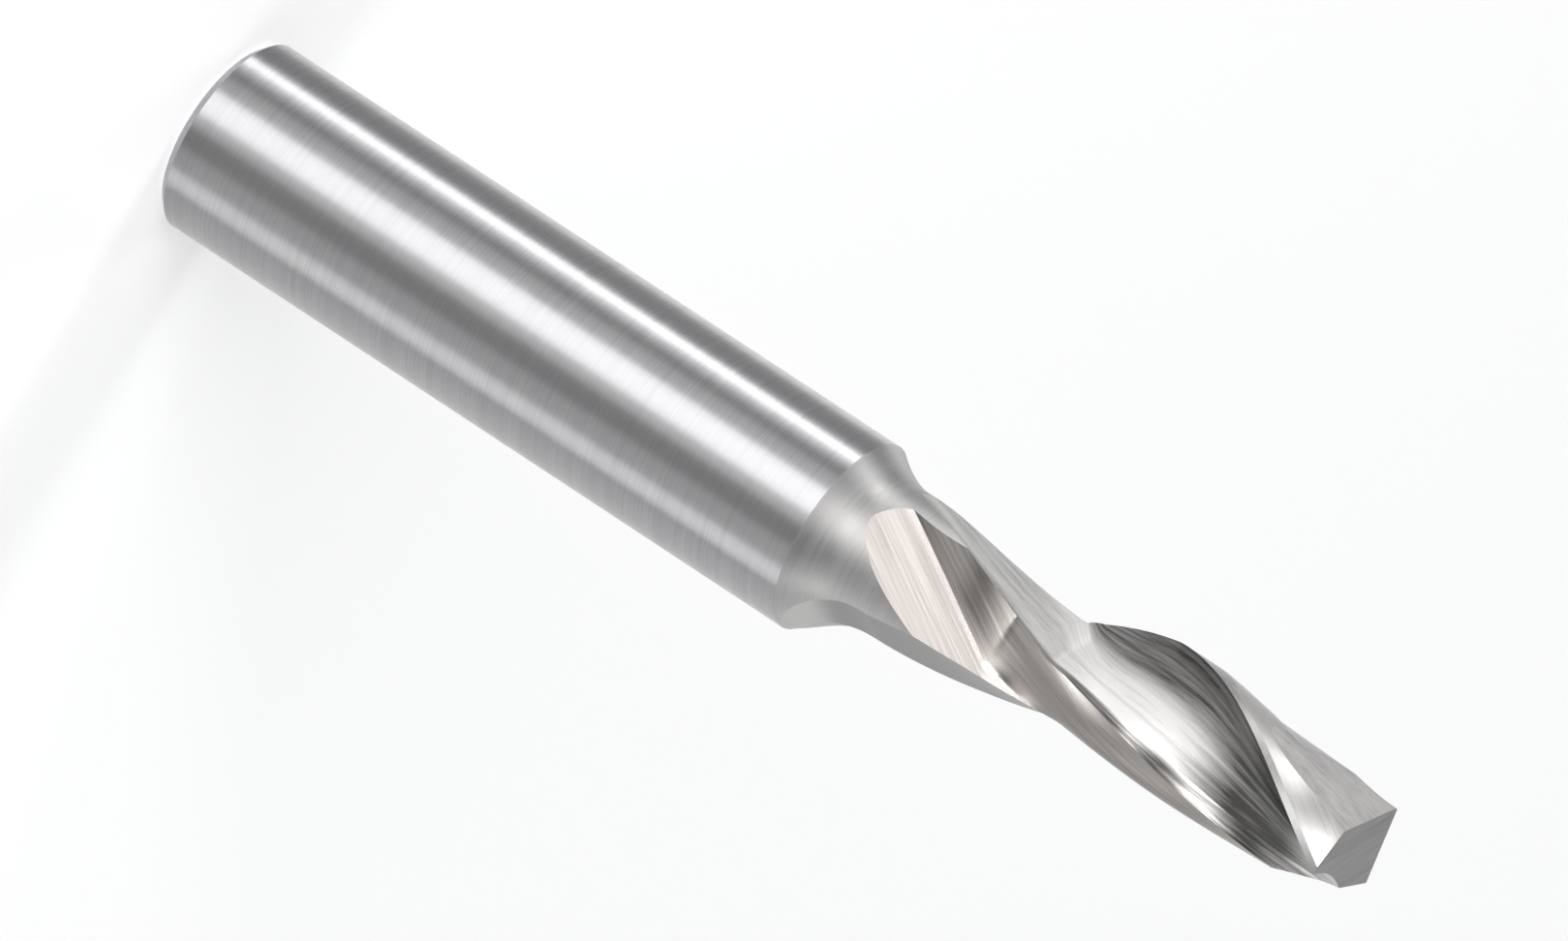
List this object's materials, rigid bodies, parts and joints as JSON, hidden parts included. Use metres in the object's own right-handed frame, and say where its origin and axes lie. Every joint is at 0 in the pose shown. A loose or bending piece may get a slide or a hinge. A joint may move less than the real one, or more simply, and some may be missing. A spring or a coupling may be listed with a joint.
{
  "type": "end mill",
  "caption": "Right-hand spiral end mill with one wide flute, a thinner neck, a back groove and a plain round shank.",
  "frame": {"origin": "centre of the flat shank end, on the cutter's axis", "axes": "+Z along the axis from the shank end to the cutting end"},
  "size_m": [0.008, 0.008, 0.0536],
  "materials": {
    "ground_steel": "fine ground high-speed steel"
  },
  "bodies": {
    "root": {"endmill": "ground_steel"}
  },
  "joints": []
}
